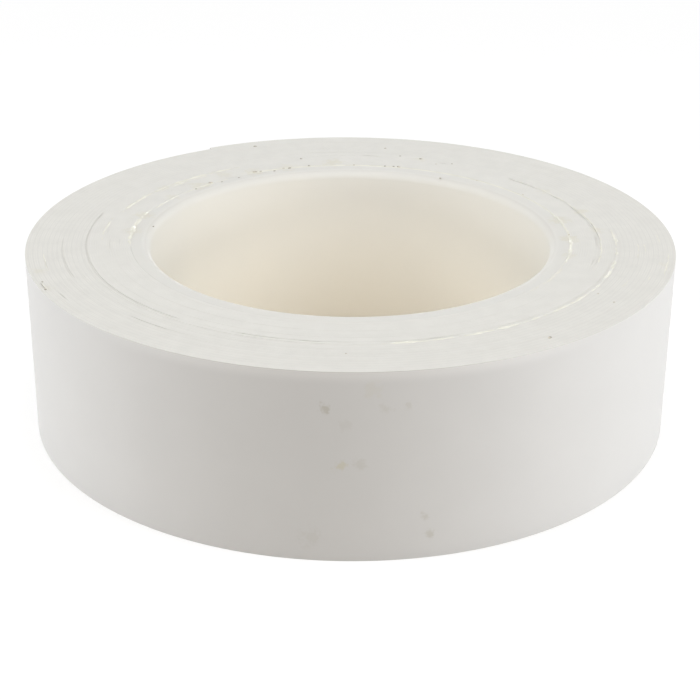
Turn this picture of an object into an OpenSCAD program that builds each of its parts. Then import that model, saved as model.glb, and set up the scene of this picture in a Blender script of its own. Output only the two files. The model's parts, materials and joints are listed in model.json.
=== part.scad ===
// Roll of double-sided tape that glues a tubular tyre to its rim.
// Four layers are wound together on a plastic core. From the core outwards they are the adhesive
// that meets the rim, the carrier fabric, the adhesive that meets the tyre, and the release liner.
// The roll lies flat: its axis is Z and its lower edge is at Z = 0.
// The free end of the outer turn lifts off the roll, and the end of its liner peels back.

/* [Tape] */
// Width of the release liner, the widest layer
tape_w = 20; // [12:0.5:30]
// Turns of tape round the core
turns = 22; // [6:1:24]
// Thickness of each of the two adhesive coats
adhesive_t = 0.1; // [0.1:0.01:0.2]
// Thickness of the carrier fabric
carrier_t = 0.1; // [0.1:0.01:0.2]
// Thickness of the release liner
liner_t = 0.1; // [0.1:0.01:0.2]
// Room between one layer and the next
layer_gap = 0.027; // [0.027:0.001:0.06]
// Distance of the carrier's edges inside the liner's edges
carrier_inset = 0.1; // [0.05:0.05:0.5]
// Distance of the adhesive's edges inside the liner's edges
adhesive_inset = 0.15; // [0.05:0.05:0.5]

/* [Core] */
// Bore of the core
bore_d = 43.5; // [25:0.5:80]
// Wall of the core
core_wall = 2.1; // [1:0.1:5]
// Radius of the core's rounded edges
core_edge_r = 0.5; // [0.1:0.05:0.9]

/* [Free end] */
// Direction of the free end seen from above, counted from the X axis
end_azimuth = 120; // [0:1:359]
// Length of the end that lifts off the roll, along its outer face
tail_l = 30; // [20:1:45]
// Length of the liner that peels off that end, along its outer face
flap_l = 18; // [8:1:19]
// Room at each cut across the tape
cut_gap = 0.04; // [0.03:0.01:0.1]

/* [Hidden] */
$fn = 144;

// Layers of one turn, from the inside out
carrier_rise = adhesive_t + layer_gap;
tyre_adhesive_rise = carrier_rise + carrier_t + layer_gap;
liner_rise = tyre_adhesive_rise + adhesive_t + layer_gap;
pitch = liner_rise + liner_t + layer_gap;

core_r = bore_d/2 + core_wall;
// One rounded edge takes no more than this share of a thin wall, so a flat rim is left
round_share = 0.45;
core_round = min(core_edge_r, round_share*core_wall);
wind_r = core_r + layer_gap;

// The winding is a spiral of half rings whose centres alternate between two points
function half_center(h) = h % 2 == 0 ? 0 : pitch/2;
function half_radius(h) = wind_r + h*pitch/2;

// Angles are counted along the winding from its start on the core
last_half = 2*turns - 1;
outer_r = half_radius(last_half) + liner_rise + liner_t;
function turned(length) = length/outer_r*180/PI;
wind_end = 360*turns;
tail_root = wind_end - turned(tail_l);
flap_root = wind_end - turned(flap_l);
cut_turn = turned(cut_gap);

// Least gap between a layer and its own next turn, measured on points of the two facing sides
gap_step = 5;
function face_point(h, angle, rise) =
  [half_center(h), 0] + (half_radius(h) + rise)*[cos(angle), sin(angle)];
function least_gap(rise, t) = min([
  for (h = [0 : last_half - 2], angle = [0 : gap_step : 180], near = [-gap_step, 0, gap_step])
    norm(face_point(h + 2, 180*h + angle + near, rise) - face_point(h, 180*h + angle, rise + t))
]);
echo(least_gap_rim_adhesive = least_gap(0, adhesive_t));
echo(least_gap_carrier = least_gap(carrier_rise, carrier_t));
echo(least_gap_tyre_adhesive = least_gap(tyre_adhesive_rise, adhesive_t));
echo(least_gap_liner = least_gap(liner_rise, liner_t));

// Wall of the core with its four edges rounded, seen in section
module core_section() {
  translate([bore_d/2 + core_round, 0])
    square([core_wall - 2*core_round, tape_w]);
  translate([bore_d/2, core_round])
    square([core_wall, tape_w - 2*core_round]);
  for (x = [bore_d/2 + core_round, core_r - core_round], z = [core_round, tape_w - core_round])
    translate([x, z])
      circle(core_round);
}

// Stretch of one layer between two angles along the winding
module layer(rise, t, inset, from, to) {
  rotate(end_azimuth)
    for (h = [floor(from/180) : ceil(to/180) - 1]) {
      arc_from = max(from, 180*h);
      arc_to = min(to, 180*(h + 1));
      translate([half_center(h), 0, inset])
        rotate_extrude(angle = arc_to - arc_from, start = arc_from % 360)
          translate([half_radius(h) + rise, 0])
            square([t, tape_w - 2*inset]);
    }
}

module core_ring() {
  color("ivory")
    rotate_extrude()
      core_section();
}

module rim_side_adhesive() {
  color("cornsilk")
    layer(0, adhesive_t, adhesive_inset, 0, tail_root - cut_turn);
}

module carrier_fabric() {
  color("white")
    layer(carrier_rise, carrier_t, carrier_inset, 0, tail_root - cut_turn);
}

module tyre_side_adhesive() {
  color("cornsilk")
    layer(tyre_adhesive_rise, adhesive_t, adhesive_inset, 0, tail_root - cut_turn);
}

module release_liner() {
  color("whitesmoke")
    layer(liner_rise, liner_t, 0, 0, tail_root - cut_turn);
}

module tail_rim_adhesive() {
  color("cornsilk")
    layer(0, adhesive_t, adhesive_inset, tail_root, wind_end);
}

module tail_carrier() {
  color("white")
    layer(carrier_rise, carrier_t, carrier_inset, tail_root, wind_end);
}

module tail_tyre_adhesive() {
  color("cornsilk")
    layer(tyre_adhesive_rise, adhesive_t, adhesive_inset, tail_root, wind_end);
}

module tail_liner() {
  color("whitesmoke")
    layer(liner_rise, liner_t, 0, tail_root, flap_root - cut_turn);
}

module liner_flap() {
  color("whitesmoke")
    layer(liner_rise, liner_t, 0, flap_root, wind_end);
}

core_ring();
rim_side_adhesive();
carrier_fabric();
tyre_side_adhesive();
release_liner();
tail_rim_adhesive();
tail_carrier();
tail_tyre_adhesive();
tail_liner();
liner_flap();
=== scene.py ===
import json
import math
from typing import NamedTuple

import bpy
from bpy.props import FloatProperty, FloatVectorProperty, IntProperty, PointerProperty
from bpy.types import Operator, Panel, PropertyGroup
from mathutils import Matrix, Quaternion, Vector


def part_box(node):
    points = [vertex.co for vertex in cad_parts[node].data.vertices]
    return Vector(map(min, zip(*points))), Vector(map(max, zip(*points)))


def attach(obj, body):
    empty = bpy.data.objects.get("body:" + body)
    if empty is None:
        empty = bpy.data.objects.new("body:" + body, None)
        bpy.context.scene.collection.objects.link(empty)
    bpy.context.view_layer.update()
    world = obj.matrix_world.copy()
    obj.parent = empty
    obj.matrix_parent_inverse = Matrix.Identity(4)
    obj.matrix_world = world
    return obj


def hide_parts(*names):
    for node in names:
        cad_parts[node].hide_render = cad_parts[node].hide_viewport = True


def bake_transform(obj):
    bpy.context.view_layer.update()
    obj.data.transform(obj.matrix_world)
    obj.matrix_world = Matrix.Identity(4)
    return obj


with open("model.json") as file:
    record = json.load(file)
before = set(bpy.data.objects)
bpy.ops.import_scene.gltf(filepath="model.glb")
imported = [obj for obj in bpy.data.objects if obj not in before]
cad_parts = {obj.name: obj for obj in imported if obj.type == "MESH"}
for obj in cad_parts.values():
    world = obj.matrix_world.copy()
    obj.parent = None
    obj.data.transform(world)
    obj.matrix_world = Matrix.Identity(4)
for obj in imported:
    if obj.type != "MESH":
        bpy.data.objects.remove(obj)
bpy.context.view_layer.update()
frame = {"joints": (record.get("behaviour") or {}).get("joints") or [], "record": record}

bl_info = {
    "name": "Tape Roll",
    "version": (1, 0, 0),
    "blender": (4, 5, 0),
    "location": "3D View > Sidebar > Tape Roll",
    "description": "Models a roll of double-sided tape wound with its release liner on a plastic core",
    "category": "Add Mesh",
}

MM = 0.001

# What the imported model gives
MOUNTS = {mount["name"]: mount for mount in frame["record"]["mounts"]}
JOINTS = {joint["name"]: joint for joint in frame["joints"]}
CORE_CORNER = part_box("core_ring")[1]
BORE_RADIUS = MOUNTS["core_bore"]["dims"]["r_mm"]*MM

# Layers of one turn, from the core outwards
LAYERS = ("rim_adhesive", "carrier", "tyre_adhesive", "liner")
RIM_ADHESIVE, CARRIER, TYRE_ADHESIVE, LINER = range(len(LAYERS))
WOUND_NODES = ("rim_side_adhesive", "carrier_fabric", "tyre_side_adhesive", "release_liner")
TAIL_NODES = ("tail_rim_adhesive", "tail_carrier", "tail_tyre_adhesive", "tail_liner")

HALF_TURN = math.pi
FULL_TURN = 2*math.pi


class FaceMark(NamedTuple):
    """Stretch of one turn whose edges stand out of the upper face, or lie below it."""
    radius: float
    start: float
    end: float
    rise: float
    layers: tuple
    dash: float = 0.0


# Marks on the upper face: radius in mm, azimuth of both ends in degrees, rise in mm, layers, and the
# length of the dashes in degrees where the mark is broken
FACE_MARKS = (
    FaceMark(28.6, 166, 235, -0.055, (RIM_ADHESIVE, CARRIER)),
    FaceMark(28.6, 246, 272, -0.045, (RIM_ADHESIVE, CARRIER), 4),
    FaceMark(28.6, 275, 292, -0.03, (CARRIER,)),
    FaceMark(28.9, 297, 365, 0.03, (LINER,)),
    FaceMark(31.0, 182, 205, -0.05, (RIM_ADHESIVE, CARRIER)),
    FaceMark(30.9, 226, 242, -0.05, (RIM_ADHESIVE,), 5),
    FaceMark(26.7, 119, 166, 0.05, (LINER,)),
    FaceMark(27.1, 338, 406, -0.07, (RIM_ADHESIVE, CARRIER, TYRE_ADHESIVE), 3),
    FaceMark(26.7, 176, 181, -0.05, (CARRIER,)),
    FaceMark(25.9, 183, 191, -0.05, (CARRIER,)),
    FaceMark(25.3, 183, 188, -0.05, (CARRIER,)),
    FaceMark(33.1, 190, 199, -0.05, (RIM_ADHESIVE,), 3),
    FaceMark(34.5, 203, 208, -0.10, (RIM_ADHESIVE,)),
    FaceMark(33.9, 209, 214, -0.05, (CARRIER,)),
    FaceMark(27.9, 82, 87, -0.08, (RIM_ADHESIVE,)),
    FaceMark(27.3, 63, 67, -0.06, (CARRIER,)),
)


def length_property(name, description, default, precision=5):
    return FloatProperty(name=name, description=description, default=default, unit="LENGTH",
                         precision=precision)


def power_property(name, description, default, precision=2):
    return FloatProperty(name=name, description=description, default=default, unit="POWER",
                         precision=precision)


def colour_property(name, description, default):
    return FloatVectorProperty(name=name, description=description, default=default, subtype="COLOR")


class RollSizes(PropertyGroup):
    """Sizes of the roll, in metres."""

    bore_radius: length_property("Bore Radius", "Radius of the core's bore", BORE_RADIUS)
    core_radius: length_property("Core Radius", "Outer radius of the core", CORE_CORNER.x)
    tape_width: length_property("Tape Width", "Width of the liner and of the core", CORE_CORNER.z)
    bore_round: length_property("Bore Edge", "Radius of the core's edges beside the bore", 1.0*MM)
    rim_round: length_property("Core Rim", "Radius of the core's edges beside the tape", 0.03*MM)
    turns: IntProperty(name="Turns", description="Turns of tape round the core", default=22)
    turn_pitch: length_property(
        "Turn Pitch", "Growth of the radius in one turn of tape", 0.508*MM, precision=6)
    layer_clearance: length_property(
        "Layer Clearance", "Room between one layer and the next", 0.002*MM, precision=6)
    core_clearance: length_property(
        "Core Clearance", "Room between the core and the first layer", 0.0135*MM, precision=6)
    carrier_recess: length_property(
        "Carrier Recess", "Depth of the carrier's edges below the liner's", 0.002*MM, precision=6)
    adhesive_recess: length_property(
        "Adhesive Recess", "Depth of the adhesive's edges below the liner's", 0.003*MM, precision=6)
    end_azimuth: FloatProperty(
        name="End Azimuth", description="Direction of the free end seen from above",
        default=math.radians(120), subtype="ANGLE")
    step: FloatProperty(
        name="Step", description="Turn between two cross sections of the tape",
        default=math.radians(1), subtype="ANGLE")
    bend_length: length_property(
        "Bend Length", "Length over which the lifted end bends", 6*MM, precision=4)


class RollColours(PropertyGroup):
    """Colours of the roll's finishes."""

    liner: colour_property("Liner", "Silicone-coated paper of the release liner", (0.698, 0.694, 0.691))
    smudge: colour_property("Smudge", "Handling marks on the liner", (0.50, 0.475, 0.41))
    edge: colour_property("Edge", "Cut edges of the layers on the two faces", (0.681, 0.676, 0.645))
    carrier: colour_property("Carrier", "Thin cloth between the coats of adhesive", (0.681, 0.676, 0.648))
    adhesive: colour_property("Adhesive", "Coats of adhesive", (0.678, 0.671, 0.636))
    glue: colour_property("Glue", "Adhesive that was pressed out between the turns", (0.70, 0.69, 0.62))
    stain: colour_property("Stain", "Thin film of glue on the upper face", (0.625, 0.595, 0.47))
    # The dust colour also stands in for painted shade in the grooves of the upper face
    dust: colour_property("Dust", "Dust that sticks in the grooves between the turns", (0.52, 0.50, 0.44))
    crumb: colour_property("Crumb", "Dark crumbs of adhesive and dust on the face", (0.33, 0.305, 0.26))
    core_lip: colour_property("Core Lip", "Flat end of the core", (0.674, 0.668, 0.636))
    # Darker colour of the bore's rounded edge and the top of its wall: painted shade
    core_edge_painted_shade: colour_property("Core Edge", "Rounded edge of the bore", (0.570, 0.561, 0.531))
    # Deep wall of the bore: the plastic's cream, made lighter as painted light
    core_wall_cream_and_painted_light: colour_property("Core Wall", "Core deep in the bore", (0.81, 0.775, 0.69))


class StageSettings(PropertyGroup):
    """Camera and light of the stage."""

    focal_length: FloatProperty(
        name="Focal Length", description="Focal length of the camera, in millimetres", default=86.6)
    distance: length_property("Distance", "From the camera to the middle of the roll", 188.44*MM)
    elevation: FloatProperty(
        name="Elevation", description="Height of the camera over the roll as an angle",
        default=math.radians(23.53), subtype="ANGLE")
    aim_side: length_property("Aim Side", "Place across the roll that the camera looks at", 0.06*MM)
    aim_height: length_property("Aim Height", "Height that the camera looks at", 6.15*MM)
    roll: FloatProperty(
        name="Roll", description="Turn of the camera about its own line of sight",
        default=math.radians(0.35), subtype="ANGLE")
    left_power: power_property("Left Lamp", "Power of the low lamp at the left", 1.75)
    right_power: power_property("Right Lamp", "Power of the low lamp at the right", 1.81)
    left_high_power: power_property("High Left Lamp", "Power of the higher lamp at the left", 1.20)
    right_high_power: power_property("High Right Lamp", "Power of the higher lamp at the right", 1.42)
    front_power: power_property("Front Lamp", "Power of the lamp high in front", 0.55)
    over_power: power_property("Over Lamp", "Power of the lamp over the roll", 2.60)
    back_power: power_property("Back Lamp", "Power of the lamp behind", 1.1)
    bore_power: power_property(
        "Bore Lamp", "Power of the soft lamp at the mouth of the bore", 0.0045, precision=4)
    side_tint: colour_property(
        "Side Tint", "Colour of the lamps at both sides and behind", (0.958, 0.982, 1.0))
    front_tint: colour_property("Front Tint", "Colour of the lamp high in front", (1.0, 0.80, 0.60))
    over_tint: colour_property("Over Tint", "Colour of the lamp over the roll", (0.98, 0.99, 1.0))


class Value:
    """Wraps a socket, so that arithmetic on it adds Math nodes."""

    def __init__(self, finish, socket):
        self.finish = finish
        self.socket = socket

    def calculate(self, operation, first, second):
        return self.finish.node("ShaderNodeMath", {"operation": operation}, {0: first, 1: second})

    def __add__(self, other):
        return self.calculate("ADD", self, other)

    def __radd__(self, other):
        return self.calculate("ADD", other, self)

    def __sub__(self, other):
        return self.calculate("SUBTRACT", self, other)

    def __rsub__(self, other):
        return self.calculate("SUBTRACT", other, self)

    def __mul__(self, other):
        return self.calculate("MULTIPLY", self, other)

    def __rmul__(self, other):
        return self.calculate("MULTIPLY", other, self)

    def above(self, low):
        """The larger of this value and a number."""
        return self.calculate("MAXIMUM", self, low)

    def below(self, high):
        """The smaller of this value and a number."""
        return self.calculate("MINIMUM", self, high)

    def step(self, start, end):
        """Rises smoothly from 0 at start to 1 at end; end may be the smaller one."""
        settings = {"interpolation_type": "SMOOTHSTEP"}
        if start < end:
            return self.finish.node("ShaderNodeMapRange", settings,
                                    {"Value": self, "From Min": start, "From Max": end})
        return 1 - self.step(end, start)


class Finish:
    """Node tree of a material or of the world."""

    def __init__(self, owner):
        owner.use_nodes = True
        self.tree = owner.node_tree
        self.tree.nodes.clear()

    def node(self, kind, settings=None, sockets=None, output=0):
        """Adds a node, makes its settings, fills its sockets and returns one of its outputs."""
        node = self.tree.nodes.new(kind)
        for key, value in (settings or {}).items():
            setattr(node, key, value)
        for key, value in (sockets or {}).items():
            if isinstance(value, Value):
                self.tree.links.new(value.socket, node.inputs[key])
            else:
                node.inputs[key].default_value = value
        return Value(self, node.outputs[output]) if node.outputs else node

    def place(self):
        """Place on the object in millimetres."""
        metres = self.node("ShaderNodeTexCoord", output="Object")
        return self.node("ShaderNodeVectorMath", {"operation": "SCALE"}, {0: metres, "Scale": 1/MM})

    def stretched(self, place, factors):
        """Place with each axis multiplied by its own factor."""
        return self.node("ShaderNodeVectorMath", {"operation": "MULTIPLY"}, {0: place, 1: factors})

    def axis(self, place, name):
        return self.node("ShaderNodeSeparateXYZ", sockets={0: place}, output=name)

    def noise(self, place, scale, detail=2.0, roughness=0.5):
        return self.node("ShaderNodeTexNoise",
                         sockets={"Vector": place, "Scale": scale, "Detail": detail,
                                  "Roughness": roughness})

    def mix(self, factor, first, second, blend="MIX"):
        """Mixes two colours."""
        settings = {"data_type": "RGBA", "blend_type": blend}
        return self.node("ShaderNodeMix", settings, {0: factor, 6: opaque(first), 7: opaque(second)},
                         output=2)

    def bump(self, height, distance, strength):
        return self.node("ShaderNodeBump",
                         sockets={"Height": height, "Distance": distance, "Strength": strength})

    def surface(self, sockets):
        """Ends a material with one Principled shader."""
        shader = self.node("ShaderNodeBsdfPrincipled", sockets=sockets)
        self.node("ShaderNodeOutputMaterial", sockets={"Surface": shader})


def opaque(colour):
    """A colour with its alpha, or a link as it is."""
    return colour if isinstance(colour, Value) else (*colour, 1.0)


def scaled(colour, factor):
    return tuple(channel*factor for channel in colour)


# Handling marks on the liner's outer side: radius in mm, azimuth in degrees, height in mm, size in mm
# and strength
SMUDGES = (
    (35.2, -93.6, 16.2, 0.7, 0.55),
    (35.2, -84.6, 16.2, 0.7, 0.20),
    (35.2, -81.2, 16.4, 0.5, 0.22),
    (35.2, -90.6, 14.5, 0.9, 0.12),
    (35.2, -88.3, 10.5, 0.8, 0.22),
    (35.2, -96.0, 2.6, 1.4, 0.15),
    (35.2, -78.1, 4.6, 0.6, 0.35),
    (35.2, -77.2, 2.6, 0.7, 0.40),
)
# Spots of glue on the same side, and stains of glue on the upper face, given in the same way
GLUE_SPOTS = (
    (35.2, -91.3, 10.3, 0.8, 0.55),
    (35.2, -86.5, 18.3, 1.2, 0.15),
)
STAINS = (
    (25.2, 95, 20, 1.6, 0.40), (24.3, 108, 20, 1.5, 0.30), (24.2, 119, 20, 1.6, 0.35),
    (25.4, 127, 20, 1.4, 0.25), (24.0, 138, 20, 1.6, 0.35), (23.9, 150, 20, 1.2, 0.25),
    (23.9, 166, 20, 1.5, 0.35), (23.9, 178, 20, 1.3, 0.30), (26.8, 145, 20, 1.0, 0.25),
    (23.9, 12, 20, 1.5, 0.40), (23.9, -2, 20, 1.4, 0.40), (24.0, -14, 20, 1.0, 0.25),
    (27.4, 17, 20, 1.2, 0.35), (27.3, 4, 20, 1.0, 0.30), (27.2, 33, 20, 0.9, 0.25),
    (27.9, 72, 20, 1.0, 0.25), (33.9, 199, 20, 1.1, 0.25), (34.3, 207, 20, 0.9, 0.25),
    (34.0, -14, 20, 0.8, 0.20),
)
# How far a mark's outline strays, as a share of its size
RAGGEDNESS = 3.0

# Where a finish changes, in mm: depths below the upper face, distances from the nearer edge, or Y
# Band under the liner's upper edge, on the front only, which is lightened as a painted highlight
PAINTED_EDGE_HIGHLIGHT_BAND = (1.4, 0.1)
PAINTED_EDGE_HIGHLIGHT_FRONT = (-24, -34)
CUT_EDGE = (0.09, 0.055)
# Grooves below the upper face are darkened with the dust colour: dust, and painted shade in the grooves
DUST_AND_SHADE_STARTS = 0.08
DUST_AND_SHADE_ENDS = (1.5, 0.5)
CARRIER_DUST_AND_SHADE_FULL = 0.30
ADHESIVE_DUST_AND_SHADE_FULL = 0.32
BROAD_SIDE = (0.4, 1.2)
# Depths over which the bore's wall turns from painted shade near its top to the lighter cream deep down,
# which is partly painted light
CORE_WALL_CREAM_AND_PAINTED_LIGHT = (-8, 20)
# Depths of the bore's rounded edge, which is darkened as painted shade
CORE_ROUNDING_PAINTED_SHADE = (1.2, 0.3)
CORE_LIP = (0.12, 0.0)


def marked(finish, place, colour, marks, tint):
    """A colour with ragged spots of another."""
    ragged = finish.noise(place, 1.4, detail=4, roughness=0.65)
    for radius, azimuth, height, size, strength in marks:
        angle = math.radians(azimuth)
        middle = (radius*math.cos(angle), radius*math.sin(angle), height)
        apart = finish.node("ShaderNodeVectorMath", {"operation": "DISTANCE"}, {0: place, 1: middle},
                            output="Value")
        spot = (apart + (ragged - 0.5)*RAGGEDNESS*size).step(size, 0.2*size)
        colour = finish.mix(spot*strength, colour, tuple(tint))
    return colour


def groove_dust_and_shade(height, top, full):
    """1 in the grooves of the upper face, from just below it down to where the strips lie tight: the mask
    of dust and painted shade.
    """
    below_face = height.step(top - DUST_AND_SHADE_STARTS, top - full)
    return below_face*height.step(top - DUST_AND_SHADE_ENDS[0], top - DUST_AND_SHADE_ENDS[1])


def liner_finish(name, sizes, colours):
    """White satin paper with faint clouds, fine fibres, a few handling marks and a painted highlight
    along the upper edge of its front.
    """
    material = bpy.data.materials.new(name)
    paper = Finish(material)
    place = paper.place()
    clouds = paper.noise(place, 0.15, detail=3)
    fibres = paper.noise(paper.stretched(place, (1, 1, 3)), 6, detail=4, roughness=0.6)
    colour = paper.mix(clouds, scaled(colours.liner, 0.97), scaled(colours.liner, 1.02))
    colour = paper.mix(fibres.step(0.55, 0.8)*0.10, colour, scaled(colours.liner, 0.88))
    colour = marked(paper, place, colour, SMUDGES, colours.smudge)
    colour = marked(paper, place, colour, GLUE_SPOTS, colours.stain)
    height = paper.axis(place, "Z")
    top = sizes.tape_width/MM
    # Painted highlight: the paper is made lighter just under its upper edge, on the front side
    painted_highlight_band = height.step(top - PAINTED_EDGE_HIGHLIGHT_BAND[0], top - PAINTED_EDGE_HIGHLIGHT_BAND[1])
    painted_edge_highlight = painted_highlight_band*paper.axis(place, "Y").step(*PAINTED_EDGE_HIGHLIGHT_FRONT)
    colour = paper.mix(painted_edge_highlight, colour, scaled(colours.liner, 1.12))
    inside = height.below(top - height)
    edge = paper.mix(clouds, scaled(colours.edge, 0.98), scaled(colours.edge, 1.03))
    edge = marked(paper, place, edge, STAINS, colours.stain)
    colour = paper.mix(inside.step(*CUT_EDGE), colour, edge)
    grain = paper.noise(place, 14, detail=3)
    paper.surface({
        "Base Color": colour,
        "Roughness": 0.52 + 0.12*clouds,
        "Specular IOR Level": 0.1,
        "Normal": paper.bump(grain*0.5 + fibres, 0.01*MM, 0.25),
    })
    return material


def carrier_finish(name, sizes, colours):
    """Thin cloth: a plain weave of fine threads."""
    material = bpy.data.materials.new(name)
    cloth = Finish(material)
    place = cloth.place()
    threads = cloth.node("ShaderNodeTexWave", {"bands_direction": "Z"},
                         {"Vector": place, "Scale": 1.2, "Distortion": 0.6, "Detail": 1.0}, output=1)
    slubs = cloth.noise(cloth.stretched(place, (1, 1, 0.3)), 2.5, detail=3)
    colour = cloth.mix(threads, scaled(colours.carrier, 0.93), scaled(colours.carrier, 1.03))
    colour = cloth.mix(slubs.step(0.5, 0.8)*0.3, colour, scaled(colours.carrier, 0.9))
    height = cloth.axis(place, "Z")
    top = sizes.tape_width/MM
    # Dust and painted shade in the grooves of the upper face
    colour = cloth.mix(groove_dust_and_shade(height, top, CARRIER_DUST_AND_SHADE_FULL), colour, tuple(colours.dust))
    colour = marked(cloth, place, colour, STAINS, colours.stain)
    cloth.surface({
        "Base Color": colour,
        "Roughness": 0.75 + 0.15*slubs,
        "Specular IOR Level": 0.1,
        "Normal": cloth.bump(threads + slubs, 0.02*MM, 0.4),
    })
    return material


def adhesive_finish(name, sizes, colours):
    """Tacky cream coat with soft clouds and small pits."""
    material = bpy.data.materials.new(name)
    coat = Finish(material)
    place = coat.place()
    clouds = coat.noise(place, 0.5, detail=4)
    pits = coat.noise(place, 5, detail=3, roughness=0.6)
    colour = coat.mix(clouds.step(0.3, 0.7), scaled(colours.adhesive, 0.97),
                      scaled(colours.adhesive, 1.04))
    height = coat.axis(place, "Z")
    top = sizes.tape_width/MM
    # Dust and painted shade in the grooves of the upper face
    colour = coat.mix(groove_dust_and_shade(height, top, ADHESIVE_DUST_AND_SHADE_FULL), colour, tuple(colours.dust))
    broad_side = height.below(top - height).step(*BROAD_SIDE)
    cream = coat.mix(clouds, scaled(colours.glue, 0.97), scaled(colours.glue, 1.02))
    colour = coat.mix(broad_side, colour, cream)
    colour = marked(coat, place, colour, STAINS, colours.stain)
    coat.surface({
        "Base Color": colour,
        "Roughness": 0.38 + 0.25*pits,
        "Specular IOR Level": 0.15,
        "Normal": coat.bump(pits, 0.03*MM, 0.35),
    })
    return material


def core_finish(name, sizes, colours):
    """Moulded plastic, white at its upper end and cream below, with painted shade on the bore's rounded
    edge and the top of its wall, and painted light deep in the bore.
    """
    material = bpy.data.materials.new(name)
    plastic = Finish(material)
    place = plastic.place()
    depth = sizes.tape_width/MM - plastic.axis(place, "Z")
    clouds = plastic.noise(place, 0.1, detail=2)
    grain = plastic.noise(place, 7, detail=3)
    # Bore wall: painted shade near its top, and the plastic's cream made lighter as painted light deep
    # down
    colour = plastic.mix(depth.step(*CORE_WALL_CREAM_AND_PAINTED_LIGHT), tuple(colours.core_edge_painted_shade), tuple(colours.core_wall_cream_and_painted_light))
    # Painted shade: the bore's rounded edge is made darker
    colour = plastic.mix(depth.step(*CORE_ROUNDING_PAINTED_SHADE), colour, scaled(colours.core_edge_painted_shade, 1.04))
    colour = plastic.mix(depth.step(*CORE_LIP), colour, tuple(colours.core_lip))
    cloudy = plastic.mix(1.0, colour, (0.95, 0.96, 0.98), "MULTIPLY")
    colour = plastic.mix(clouds.step(0.35, 0.7)*0.3, colour, cloudy)
    colour = marked(plastic, place, colour, STAINS, colours.stain)
    plastic.surface({
        "Base Color": colour,
        "Roughness": 0.55 + 0.14*grain,
        "Specular IOR Level": 0.1,
        "Normal": plastic.bump(grain, 0.015*MM, 0.2),
    })
    return material


def glue_finish(name, sizes, colours):
    """Cream glue with soft lumps."""
    material = bpy.data.materials.new(name)
    glue = Finish(material)
    place = glue.place()
    clouds = glue.noise(place, 0.6, detail=4)
    lumps = glue.noise(place, 5, detail=3)
    colour = glue.mix(clouds.step(0.3, 0.7), scaled(colours.glue, 0.94), scaled(colours.glue, 1.06))
    glue.surface({
        "Base Color": colour,
        "Roughness": 0.40 + 0.2*lumps,
        "Specular IOR Level": 0.35,
        "Normal": glue.bump(lumps, 0.03*MM, 0.4),
    })
    return material


def crumb_finish(name, sizes, colours):
    """Dark crumbs, some of them paler."""
    material = bpy.data.materials.new(name)
    dirt = Finish(material)
    place = dirt.place()
    clouds = dirt.noise(place, 1.5, detail=3)
    colour = dirt.mix(clouds.step(0.4, 0.65), tuple(colours.crumb), scaled(colours.crumb, 1.9))
    dirt.surface({
        "Base Color": colour,
        "Roughness": 0.7 + 0.2*clouds,
        "Normal": dirt.bump(clouds, 0.02*MM, 0.3),
    })
    return material


FINISHES = {
    "liner_paper": liner_finish,
    "carrier_cloth": carrier_finish,
    "adhesive_coat": adhesive_finish,
    "moulded_core": core_finish,
    "cream_glue": glue_finish,
    "dusty_crumb": crumb_finish,
}
LAYER_FINISHES = ("adhesive_coat", "carrier_cloth", "adhesive_coat", "liner_paper")


def finish_of(scene, name):
    """A material by its name, made when it is first needed."""
    made = bpy.data.materials.get(name)
    return made or FINISHES[name](name, scene.roll_sizes, scene.roll_colours)


def select_only(*objects):
    bpy.ops.object.select_all(action="DESELECT")
    for obj in objects:
        obj.select_set(True)
    bpy.context.view_layer.objects.active = objects[0]


def apply_place(obj):
    """Moves the object's place, turn and scale into its mesh."""
    select_only(obj)
    bpy.ops.object.transform_apply(location=True, rotation=True, scale=True)


def edit(obj):
    """Opens an object's mesh with all of it selected."""
    select_only(obj)
    bpy.ops.object.mode_set(mode="EDIT")
    bpy.ops.mesh.select_all(action="SELECT")


def leave_edit():
    bpy.ops.object.mode_set(mode="OBJECT")


def select_vertices(obj, wanted):
    """In an open mesh, selects only the vertices whose place is wanted."""
    bpy.ops.mesh.select_all(action="DESELECT")
    bpy.ops.object.mode_set(mode="OBJECT")
    for vertex in obj.data.vertices:
        vertex.select = wanted(vertex.co)
    bpy.ops.object.mode_set(mode="EDIT")


def upright_plane(centre, width, height):
    """Adds an upright rectangle, the start of a section that is spun about Z."""
    bpy.ops.object.select_all(action="DESELECT")
    bpy.ops.mesh.primitive_plane_add(size=1, location=centre, rotation=(math.pi/2, 0, 0))
    plane = bpy.context.object
    plane.scale = (width, height, 1)
    apply_place(plane)
    return plane


def open_section():
    """Leaves only the outline of the open section, selected."""
    bpy.ops.mesh.select_all(action="SELECT")
    bpy.ops.mesh.delete(type="ONLY_FACE")
    bpy.ops.mesh.select_all(action="SELECT")


def spin(angle, steps, centre=(0, 0, 0)):
    """Spins what is selected counter-clockwise, seen from above, about a line along Z."""
    bpy.ops.mesh.spin(steps=steps, angle=-angle, center=centre, axis=(0, 0, 1))


def close_mesh(merge=0.001*MM):
    """Merges doubles, closes open ends and turns the faces outwards."""
    bpy.ops.mesh.select_all(action="SELECT")
    bpy.ops.mesh.remove_doubles(threshold=merge)
    bpy.ops.mesh.fill_holes(sides=0)
    bpy.ops.mesh.select_all(action="SELECT")
    bpy.ops.mesh.normals_make_consistent(inside=False)


def smooth(obj, angle=30):
    select_only(obj)
    bpy.ops.object.shade_smooth_by_angle(angle=math.radians(angle))


def dress(scene, obj, name, finish):
    """Names a finished piece and gives it its material and slot."""
    obj.name = name
    obj.data.name = name
    obj.data.materials.clear()
    obj.data.materials.append(finish_of(scene, finish))


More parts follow.
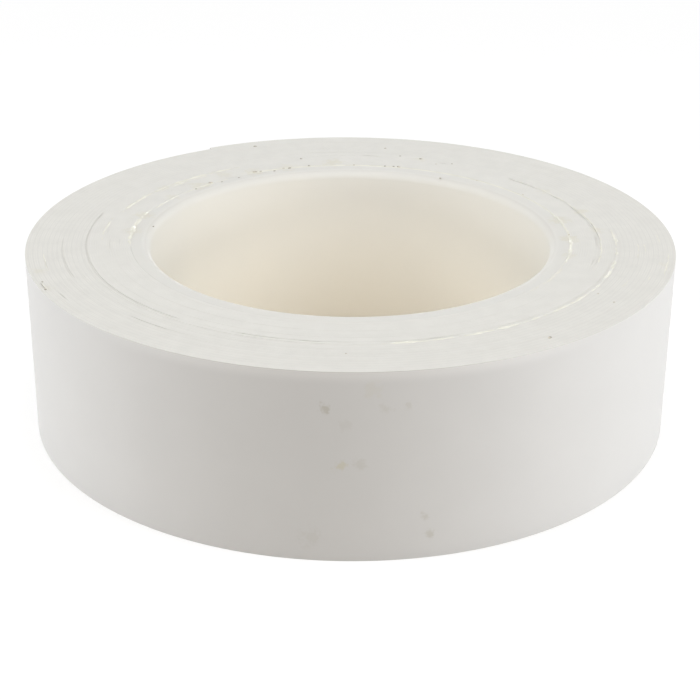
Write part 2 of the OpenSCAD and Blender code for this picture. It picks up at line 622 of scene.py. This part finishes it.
class Winding:
    """Spiral that the tape follows: half rings about two centres, with angles counted from the core."""

    def __init__(self, sizes):
        self.turn = sizes.end_azimuth
        self.pitch = sizes.turn_pitch
        self.layer_step = sizes.turn_pitch/len(LAYERS)
        self.thickness = self.layer_step - sizes.layer_clearance
        self.start_radius = sizes.core_radius + sizes.core_clearance
        self.end = FULL_TURN*sizes.turns
        self.step = sizes.step

    def centre(self, half):
        offset = self.pitch/2*(half % 2)
        return Vector((offset*math.cos(self.turn), offset*math.sin(self.turn), 0))

    def radius(self, half):
        return self.start_radius + half*self.pitch/2

    def arcs(self, start, end):
        """Half rings between two angles: number, first angle and last angle of each."""
        for half in range(int(start//HALF_TURN), math.ceil(end/HALF_TURN)):
            yield half, max(start, half*HALF_TURN), min(end, (half + 1)*HALF_TURN)

    def angle_of(self, point, layer):
        """Angle along the winding at a point of a layer."""
        across = math.cos(self.turn)*point.x + math.sin(self.turn)*point.y
        along = math.cos(self.turn)*point.y - math.sin(self.turn)*point.x
        odd = 1 if along < -0.1*self.thickness else 0
        across -= odd*self.pitch/2
        turned = math.atan2(along, across) % FULL_TURN if odd else math.atan2(abs(along), across)
        middle = self.start_radius + layer*self.layer_step + self.thickness/2
        halves = (math.hypot(across, along) - middle)/(self.pitch/2)
        half = 2*round((halves - odd)/2) + odd
        return half*HALF_TURN + turned - odd*HALF_TURN

    def angle_near(self, radius, azimuth, layer):
        """Angle along the winding where a layer comes nearest to a radius in one direction."""
        turned = (azimuth - self.turn) % FULL_TURN
        first = self.start_radius + layer*self.layer_step + self.pitch*turned/FULL_TURN
        return turned + FULL_TURN*round((radius - first)/self.pitch)

    def first_turn_reach(self, azimuth):
        """Distance from the axis to the inner side of the first turn, on its half that climbs."""
        turned = azimuth - self.turn
        offset = self.pitch/2
        reach = self.start_radius + offset
        return offset*math.cos(turned) + math.sqrt(reach**2 - (offset*math.sin(turned))**2)

    def angle_at_joint(self, name):
        """Angle along the last half ring at a joint's axis."""
        half = round(self.end/HALF_TURN) - 1
        apart = Vector(JOINTS[name]["pos_m"]) - self.centre(half)
        turned = (math.atan2(apart.y, apart.x) - self.turn) % FULL_TURN
        return (half - 1)*HALF_TURN + turned

    def point(self, angle, radius_offset, height):
        """Point at an angle along the last half ring, a distance outside its first layer."""
        half = round(self.end/HALF_TURN) - 1
        direction = self.turn + angle
        reach = self.radius(half) + radius_offset
        return self.centre(half) + Vector((reach*math.cos(direction), reach*math.sin(direction), height))


def recess_of(sizes, layer):
    """Depth of a layer's edges below the liner's."""
    return (sizes.adhesive_recess, sizes.carrier_recess, sizes.adhesive_recess, 0)[layer]


def wind_layers(sizes, winding, layers, start, end):
    """Winds the sections of some layers between two angles: one strip for each, from inside out."""
    planes = []
    for layer in layers:
        centre = (layer*winding.layer_step + winding.thickness/2, 0, sizes.tape_width/2)
        height = sizes.tape_width - 2*recess_of(sizes, layer)
        planes.append(upright_plane(centre, winding.thickness, height))
    select_only(*planes)
    bpy.ops.object.join()
    section = bpy.context.object
    edit(section)
    open_section()
    leave_edit()

    stretches = []
    for half, first, last in winding.arcs(start, end):
        select_only(section)
        bpy.ops.object.duplicate()
        stretch = bpy.context.object
        direction = winding.turn + first
        middle = winding.centre(half)
        reach = winding.radius(half)
        stretch.rotation_euler = (0, 0, direction)
        stretch.location = middle + Vector((reach*math.cos(direction), reach*math.sin(direction), 0))
        apply_place(stretch)
        edit(stretch)
        spin(last - first, math.ceil((last - first)/winding.step - 0.01), middle)
        leave_edit()
        stretches.append(stretch)

    bpy.data.objects.remove(section)
    select_only(*stretches)
    if len(stretches) > 1:
        bpy.ops.object.join()
    edit(bpy.context.object)
    close_mesh()
    if len(layers) > 1:
        bpy.ops.mesh.separate(type="LOOSE")
    leave_edit()
    strips = list(bpy.context.selected_objects)
    strips.sort(key=lambda strip: min(vertex.co.xy.length for vertex in strip.data.vertices))
    return strips


def scatter(number):
    """A repeatable number between 0 and 1 for a whole number."""
    return math.sin(12.9898*number + 4.1414)*43758.5453 % 1.0


def fade(value, low, high):
    """Rises smoothly from 0 at low to 1 at high."""
    share = min(max((value - low)/(high - low), 0.0), 1.0)
    return share*share*(3 - 2*share)


# Drift of the winding along the core: height in mm, waves in one radian and start of each wave.
# The periods don't fit the turn, so the turns differ.
DRIFT = ((0.004, 0.382, 0.0), (0.002, 1.27, 1.3), (0.001, 4.31, 0.5), (0.001, 17.3, 0.0))
# The lower edges drift in another way, and stay clear of the floor, in mm
LOWER_DRIFT_SHIFT = 7.0
LOWER_EDGE_RISE = 0.035
# The turns inside this radius stand higher, with a slope this far to both sides of it, in mm
INNER_TURNS_RADIUS = 28.7
INNER_TURNS_SLOPE = 0.2
INNER_TURNS_RISE = 0.03
# Length over which a mark fades at its ends, in degrees, and the share and depth of its faint dashes
MARK_ENDS = 2.5
FAINT_DASHES = 0.4
FAINT_DEPTH = 0.25


def wander(angle):
    """How far the winding drifts along the core at an angle, in mm."""
    return sum(height*math.sin(angle*waves + start) for height, waves, start in DRIFT)


def face_drop(radius):
    """Depth of the face below its inner turns at a radius, both in mm."""
    low = INNER_TURNS_RADIUS - INNER_TURNS_SLOPE
    return INNER_TURNS_RISE*fade(radius, low, INNER_TURNS_RADIUS + INNER_TURNS_SLOPE)


def face_rise(winding, angle, marks):
    """Height of a layer's upper edge over its plain place, in mm, at an angle along the winding."""
    radius = (winding.start_radius + winding.pitch*angle/FULL_TURN)/MM
    rise = wander(angle) - face_drop(radius)
    degrees = math.degrees(angle)
    for mark, middle in marks:
        reach = (mark.end - mark.start)/2
        apart = abs(degrees - middle)
        if apart > reach:
            continue
        share = fade(reach - apart, 0.0, MARK_ENDS)
        if mark.dash:
            share *= 1.0 if scatter(int(degrees/mark.dash)) > FAINT_DASHES else FAINT_DEPTH
        rise += mark.rise*share*(0.8 + 0.4*scatter(int(degrees)))
    return rise


def shape_edges(sizes, winding, strip, layer):
    """Lets a strip's two edges drift, and gives the upper one its marks."""
    marks = []
    for mark in FACE_MARKS:
        if layer in mark.layers:
            azimuth = math.radians((mark.start + mark.end)/2)
            marks.append((mark, math.degrees(winding.angle_near(mark.radius*MM, azimuth, layer))))
    for vertex in strip.data.vertices:
        angle = winding.angle_of(vertex.co, layer)
        if vertex.co.z > sizes.tape_width/2:
            vertex.co.z += face_rise(winding, angle, marks)*MM
        else:
            vertex.co.z += (LOWER_EDGE_RISE + wander(angle + LOWER_DRIFT_SHIFT))*MM


class TAPE_OT_core(Operator):
    """Spins the core's section and rounds its edges"""
    bl_idname = "tape_roll.core"
    bl_label = "Core"

    def execute(self, context):
        sizes = context.scene.roll_sizes
        wall = sizes.core_radius - sizes.bore_radius
        middle = sizes.bore_radius + wall/2
        core = upright_plane((middle, 0, sizes.tape_width/2), wall, sizes.tape_width)
        edit(core)
        select_vertices(core, lambda place: place.x < middle)
        bpy.ops.mesh.bevel(offset=sizes.bore_round, segments=10, affect="VERTICES")
        corner = sizes.core_radius - 0.01*MM
        select_vertices(core, lambda place: place.x > corner)
        bpy.ops.mesh.bevel(offset=sizes.rim_round, segments=3, affect="VERTICES")
        open_section()
        spin(FULL_TURN, steps=240)
        close_mesh()
        leave_edit()
        smooth(core, 35)
        dress(context.scene, core, "core", "moulded_core")
        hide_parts("core_ring")
        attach(core, "roll")
        return {"FINISHED"}


class TAPE_OT_winding(Operator):
    """Winds the four layers round the core, as far as the joint where the free end lifts"""
    bl_idname = "tape_roll.winding"
    bl_label = "Wound Layers"

    def execute(self, context):
        sizes = context.scene.roll_sizes
        winding = Winding(sizes)
        bend = winding.angle_at_joint("tape_end_lift")
        strips = wind_layers(sizes, winding, range(len(LAYERS)), 0, bend)
        for layer, strip in enumerate(strips):
            shape_edges(sizes, winding, strip, layer)
            smooth(strip)
            dress(context.scene, strip, "wound_" + LAYERS[layer], LAYER_FINISHES[layer])
            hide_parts(WOUND_NODES[layer])
            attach(strip, "roll")
        return {"FINISHED"}


class TAPE_OT_free_end(Operator):
    """Winds the last stretch of each layer as pieces of their own, from the joints where the tape lifts
    and the liner peels
    """
    bl_idname = "tape_roll.free_end"
    bl_label = "Free End"

    def bend(self, winding, joint, length):
        """First and last point of the bend at a joint."""
        start = winding.angle_at_joint(joint)
        reach = winding.layer_step*len(LAYERS)
        outer = winding.radius(round(winding.end/HALF_TURN) - 1) + reach
        height = JOINTS[joint]["pos_m"][2]
        return winding.point(start, reach, height), winding.point(start + length/outer, reach, height)

    def execute(self, context):
        sizes = context.scene.roll_sizes
        winding = Winding(sizes)
        lift = winding.angle_at_joint("tape_end_lift")
        peel = winding.angle_at_joint("liner_peel")
        stretches = (
            (range(LINER), lift, winding.end, TAIL_NODES[:LINER], "tape_end_lift"),
            ((LINER,), lift, peel, TAIL_NODES[LINER:], "tape_end_lift"),
            ((LINER,), peel, winding.end, ("liner_flap",), "liner_peel"),
        )
        for layers, start, end, nodes, joint in stretches:
            strips = wind_layers(sizes, winding, layers, start, end)
            bend_start, bend_end = self.bend(winding, joint, sizes.bend_length)
            for layer, strip, node in zip(layers, strips, nodes):
                shape_edges(sizes, winding, strip, layer)
                smooth(strip)
                name = "peeling_liner" if node == "liner_flap" else "end_" + LAYERS[layer]
                dress(context.scene, strip, name, LAYER_FINISHES[layer])
                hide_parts(node)
                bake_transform(strip)
        return {"FINISHED"}


# Dark crumbs on the upper face: radius in mm, azimuth in degrees, size in mm
CRUMBS = (
    (23.9, 134, 0.55), (23.3, 131, 0.30), (24.2, 118.5, 0.62), (24.1, 116.8, 0.36), (23.6, 113, 0.34),
    (24.0, 108, 0.50), (24.1, 109.8, 0.34), (24.3, 102, 0.36), (27.2, 103, 0.36), (24.2, 89, 0.30),
    (21.9, 174, 0.28), (33.7, 111, 0.48), (33.1, -55, 0.50), (29.8, -33, 0.26), (32.1, -35, 0.28),
    (31.0, -90.6, 0.24), (31.3, 82, 0.32), (28.5, 77.5, 0.28), (28.1, 72, 0.42), (24.2, 80, 0.30),
    (24.3, 76, 0.50), (24.3, 77.5, 0.30), (22.2, 61, 0.34), (27.8, 63.4, 0.26), (24.0, 51, 0.24),
    (24.3, 34, 0.28), (24.0, 1, 0.34), (34.6, 207.5, 0.34), (34.3, 204, 0.26), (26.9, 67, 0.24),
    (23.5, 140.5, 0.30), (23.3, 125, 0.30),
)


class TAPE_OT_crumbs(Operator):
    """Scatters small crumbs over the upper face, each a squashed and roughened lump"""
    bl_idname = "tape_roll.crumbs"
    bl_label = "Crumbs"

    def lump(self):
        """One lump of unit size."""
        bpy.ops.object.select_all(action="DESELECT")
        bpy.ops.mesh.primitive_ico_sphere_add(subdivisions=2, radius=0.5)
        lump = bpy.context.object
        edit(lump)
        bpy.ops.transform.vertex_random(offset=0.12, seed=3)
        bpy.ops.transform.resize(value=(1.0, 0.7, 0.4))
        leave_edit()
        return lump

    def execute(self, context):
        sizes = context.scene.roll_sizes
        lump = self.lump()
        copies = []
        for number, (radius, azimuth, size) in enumerate(CRUMBS):
            angle = math.radians(azimuth)
            select_only(lump)
            bpy.ops.object.duplicate()
            copy = bpy.context.object
            copy.scale = (size*MM, size*MM, size*MM)
            copy.rotation_euler = (0, 0, angle + math.pi/2 + 0.8*(scatter(number) - 0.5))
            level = sizes.tape_width - face_drop(radius)*MM
            copy.location = (radius*MM*math.cos(angle), radius*MM*math.sin(angle), level)
            apply_place(copy)
            copies.append(copy)
        bpy.data.objects.remove(lump)
        select_only(*copies)
        bpy.ops.object.join()
        crumbs = bpy.context.object
        smooth(crumbs, 60)
        dress(context.scene, crumbs, "glue_crumbs", "dusty_crumb")
        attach(crumbs, "roll")
        return {"FINISHED"}


# Threads of glue on the upper face: radius in mm, azimuth of both ends in degrees, thickness in mm
GLUE_THREADS = (
    (23.95, 160, 189, 0.68), (23.6, 126, 162, 0.34), (24.0, 104, 124, 0.26), (24.0, 74, 100, 0.14),
    (25.1, 92, 98, 0.40), (24.0, -22, 20, 0.44), (24.1, -46, -20, 0.22), (24.0, 28, 60, 0.12),
    (26.7, 119, 167, 0.48), (26.2, 128, 150, 0.30), (27.2, 101, 105, 0.30), (27.9, 80, 88, 0.20),
    (27.25, -23, 47, 0.24), (28.9, -86, 6, 0.44), (31.2, -14, -1, 0.20), (31.9, -13, -1, 0.20),
    (31.2, -30, -21, 0.20), (33.6, -8, 7, 0.20), (34.3, -22, -6, 0.22), (33.1, -25, -18, 0.18),
    (33.1, 189, 200, 0.20), (34.4, 203, 210, 0.24), (27.0, 166, 187, 0.30), (25.6, 182, 190, 0.16),
)
# Length over which a thread thins at its ends, in degrees, its depth in the face and its least swelling
THREAD_ENDS = 5
THREAD_DEPTH = 0.02*MM
THREAD_LEAST = 0.04
# Where the wedge of glue starts along the first turn, how deep it lies and its room to its neighbours
GLUE_START = math.radians(200)
GLUE_DEPTH = 0.01*MM
GLUE_CLEARANCE = 0.004*MM


class TAPE_OT_glue(Operator):
    """Fills the wedge behind the first turn with glue, and spins thin threads of glue on the face"""
    bl_idname = "tape_roll.glue"
    bl_label = "Glue"

    def thread(self, sizes, radius, start, end, thickness):
        """Thin thread that swells and shrinks along its arc."""
        direction = math.radians(start)
        arc = radius*MM
        level = sizes.tape_width - THREAD_DEPTH - face_drop(radius)*MM
        bpy.ops.object.select_all(action="DESELECT")
        place = (arc*math.cos(direction), arc*math.sin(direction), level)
        bpy.ops.mesh.primitive_circle_add(vertices=8, radius=thickness/2*MM, location=place,
                                          rotation=(math.pi/2, 0, direction))
        thread = bpy.context.object
        apply_place(thread)
        edit(thread)
        spin(math.radians(end - start), 2*(end - start))
        close_mesh()
        leave_edit()
        for vertex in thread.data.vertices:
            azimuth = math.degrees(math.atan2(vertex.co.y, vertex.co.x))
            along = (azimuth - start) % 360
            ends = min(fade(along, 0, THREAD_ENDS), fade(end - start - along, 0, THREAD_ENDS))
            lumps = (0.5 + 0.25*math.sin(azimuth*0.9 + radius) + 0.2*math.sin(azimuth*2.3)
                     + 0.2*math.sin(azimuth*0.31 + 2*radius))
            swell = max(ends*lumps, THREAD_LEAST)
            line = vertex.co.xy.normalized()*arc
            sway = 1 + 0.0012*math.sin(azimuth*0.7 + radius) + 0.0008*math.sin(azimuth*1.9)
            vertex.co.xy = (line + (vertex.co.xy - line)*(0.3 + 0.7*swell))*sway
            vertex.co.z = level + (vertex.co.z - level)*0.6*swell
        return thread

    def wedge(self, sizes, winding):
        """Glue between the core and the first turn, where the turn climbs over the tape's start."""
        start = winding.turn + GLUE_START
        wedge = upright_plane((0, 0, sizes.tape_width/2), winding.pitch/2, sizes.tape_width)
        wedge.rotation_euler = (0, 0, start)
        wedge.location = (sizes.core_radius*math.cos(start), sizes.core_radius*math.sin(start), 0)
        apply_place(wedge)
        edit(wedge)
        open_section()
        spin(FULL_TURN - GLUE_START, steps=160)
        close_mesh()
        leave_edit()
        for vertex in wedge.data.vertices:
            direction = vertex.co.xy.normalized()
            inner = vertex.co.xy.length < sizes.core_radius
            azimuth = math.atan2(direction.y, direction.x)
            reach = winding.first_turn_reach(azimuth) - GLUE_CLEARANCE
            vertex.co.xy = direction*(sizes.core_radius + GLUE_CLEARANCE if inner else reach)
            sink = GLUE_DEPTH*(1 + 0.5*math.sin(azimuth*23) + 0.4*math.sin(azimuth*61))
            vertex.co.z += -sink if vertex.co.z > sizes.tape_width/2 else sink
        return wedge

    def execute(self, context):
        sizes = context.scene.roll_sizes
        pieces = [self.wedge(sizes, Winding(sizes))]
        pieces += [self.thread(sizes, *thread) for thread in GLUE_THREADS]
        select_only(*pieces)
        bpy.ops.object.join()
        glue = bpy.context.object
        smooth(glue, 50)
        dress(context.scene, glue, "pressed_out_glue", "cream_glue")
        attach(glue, "roll")
        return {"FINISHED"}


class Lamp(NamedTuple):
    """Flat lamp that faces the roll; power and tint name its stage settings."""
    name: str
    power: str
    tint: str
    place: tuple
    size: tuple


# Places and sizes in metres
LAMPS = (
    Lamp("left_lamp", "left_power", "side_tint", (-0.585, -0.10, 0.06), (0.40, 0.11)),
    Lamp("right_lamp", "right_power", "side_tint", (0.55, -0.215, 0.06), (0.40, 0.11)),
    Lamp("left_high_lamp", "left_high_power", "side_tint", (-0.515, -0.095, 0.30), (0.40, 0.30)),
    Lamp("right_high_lamp", "right_high_power", "side_tint", (0.495, -0.19, 0.30), (0.40, 0.30)),
    Lamp("back_lamp", "back_power", "side_tint", (0.0, 0.60, 0.035), (0.40, 0.06)),
    Lamp("front_lamp", "front_power", "front_tint", (0.0, -0.31, 0.55), (0.40, 0.40)),
    Lamp("over_lamp", "over_power", "over_tint", (0.0, 0.0, 0.63), (0.40, 0.40)),
)
BORE_LAMP = (0.0, 0.005, 0.0165)
BORE_LAMP_RADIUS = 0.005
FLOOR_SIZE = 6.0
FLOOR_LEVEL = -0.01*MM
FLOOR_COLOUR = (0.54, 0.505, 0.45)
SEEN_FLOOR_COLOUR = (0.30, 0.30, 0.30)
SEEN_FLOOR_GLOW = 0.72
WHITE_FLOOR_FROM = 0.10
WHITE_FLOOR_TO = 0.30


class TAPE_OT_stage(Operator):
    """Sets the camera, the white floor and the soft light round the roll"""
    bl_idname = "tape_roll.stage"
    bl_label = "Stage"

    def camera(self, scene):
        settings = scene.stage_settings
        middle = scene.roll_sizes.tape_width/2
        bpy.ops.object.select_all(action="DESELECT")
        bpy.ops.object.camera_add()
        camera = bpy.context.object
        camera.data.lens = settings.focal_length
        camera.data.clip_start = 0.01
        back = -settings.distance*math.cos(settings.elevation)
        camera.location = (0, back, middle + settings.distance*math.sin(settings.elevation))
        sight = Vector((settings.aim_side, 0, settings.aim_height)) - camera.location
        turn = sight.to_track_quat("-Z", "Y") @ Quaternion((0, 0, 1), settings.roll)
        camera.rotation_euler = turn.to_euler()
        scene.camera = camera

    def seen_ray(self, finish):
        """1 for rays that show the background: from the camera, a gloss or through glass."""
        rays = [finish.node("ShaderNodeLightPath", output=name)
                for name in ("Is Camera Ray", "Is Glossy Ray", "Is Transmission Ray")]
        return rays[0].above(rays[1]).above(rays[2])

    def floor(self):
        bpy.ops.object.select_all(action="DESELECT")
        bpy.ops.mesh.primitive_plane_add(size=FLOOR_SIZE, location=(0, 0, FLOOR_LEVEL))
        floor = bpy.context.object
        floor.name = "floor"
        material = bpy.data.materials.new("white_floor")
        finish = Finish(material)
        matte = finish.node("ShaderNodeBsdfDiffuse", sockets={"Color": opaque(FLOOR_COLOUR)})
        shaded = finish.node("ShaderNodeBsdfDiffuse", sockets={"Color": opaque(SEEN_FLOOR_COLOUR)})
        glow = finish.node("ShaderNodeEmission", sockets={"Strength": SEEN_FLOOR_GLOW})
        near = finish.node("ShaderNodeAddShader", sockets={0: shaded, 1: glow})
        white = finish.node("ShaderNodeEmission", sockets={"Strength": 1.0})
        place = finish.node("ShaderNodeTexCoord", output="Object")
        reach = finish.node("ShaderNodeVectorMath", {"operation": "LENGTH"}, {0: place}, output="Value")
        far = reach.step(WHITE_FLOOR_FROM, WHITE_FLOOR_TO)
        seen = finish.node("ShaderNodeMixShader", sockets={0: far, 1: near, 2: white})
        both = finish.node("ShaderNodeMixShader", sockets={0: self.seen_ray(finish), 1: matte, 2: seen})
        finish.node("ShaderNodeOutputMaterial", sockets={"Surface": both})
        floor.data.materials.append(material)

    def light(self, scene):
        """Soft lamps round and above the roll and in its bore, in a world that only shows white."""
        settings = scene.stage_settings
        for lamp in LAMPS:
            bpy.ops.object.select_all(action="DESELECT")
            bpy.ops.object.light_add(type="AREA", location=lamp.place)
            flat = bpy.context.object
            flat.name = lamp.name
            flat.data.shape = "RECTANGLE"
            flat.data.size, flat.data.size_y = lamp.size
            flat.data.energy = getattr(settings, lamp.power)
            flat.data.color = getattr(settings, lamp.tint)
            flat.rotation_euler = (-Vector(lamp.place)).to_track_quat("-Z", "Y").to_euler()
        bpy.ops.object.select_all(action="DESELECT")
        bpy.ops.object.light_add(type="POINT", radius=BORE_LAMP_RADIUS, location=BORE_LAMP)
        fill = bpy.context.object
        fill.name = "bore_lamp"
        fill.data.energy = settings.bore_power
        fill.visible_camera = False
        world = bpy.data.worlds.new("white_backdrop")
        scene.world = world
        finish = Finish(world)
        white = finish.node("ShaderNodeBackground", sockets={"Color": (1, 1, 1, 1),
                                                             "Strength": self.seen_ray(finish)})
        finish.node("ShaderNodeOutputWorld", sockets={"Surface": white})

    def execute(self, context):
        scene = context.scene
        self.camera(scene)
        self.floor()
        self.light(scene)
        scene.view_settings.view_transform = "Standard"
        return {"FINISHED"}


PIECES = (TAPE_OT_core, TAPE_OT_winding, TAPE_OT_free_end, TAPE_OT_glue, TAPE_OT_crumbs)


class TAPE_PT_panel(Panel):
    """Lists the steps that build the roll"""
    bl_idname = "TAPE_PT_panel"
    bl_label = "Tape Roll"
    bl_space_type = "VIEW_3D"
    bl_region_type = "UI"
    bl_category = "Tape Roll"

    def draw(self, context):
        layout = self.layout
        for group in (context.scene.roll_sizes, context.scene.roll_colours, context.scene.stage_settings):
            box = layout.box()
            for name in group.bl_rna.properties.keys():
                if name not in ("rna_type", "name"):
                    box.prop(group, name)
        layout.operator(TAPE_OT_stage.bl_idname)
        for piece in PIECES:
            layout.operator(piece.bl_idname)


CLASSES = (RollSizes, RollColours, StageSettings, TAPE_OT_stage, *PIECES, TAPE_PT_panel)


def register():
    for made in CLASSES:
        bpy.utils.register_class(made)
    bpy.types.Scene.roll_sizes = PointerProperty(type=RollSizes)
    bpy.types.Scene.roll_colours = PointerProperty(type=RollColours)
    bpy.types.Scene.stage_settings = PointerProperty(type=StageSettings)


def unregister():
    del bpy.types.Scene.stage_settings
    del bpy.types.Scene.roll_colours
    del bpy.types.Scene.roll_sizes
    for made in reversed(CLASSES):
        bpy.utils.unregister_class(made)


def main():
    register()
    bpy.ops.tape_roll.stage()
    bpy.ops.tape_roll.core()
    bpy.ops.tape_roll.winding()
    bpy.ops.tape_roll.free_end()
    bpy.ops.tape_roll.glue()
    bpy.ops.tape_roll.crumbs()


if __name__ == "__main__":
    main()
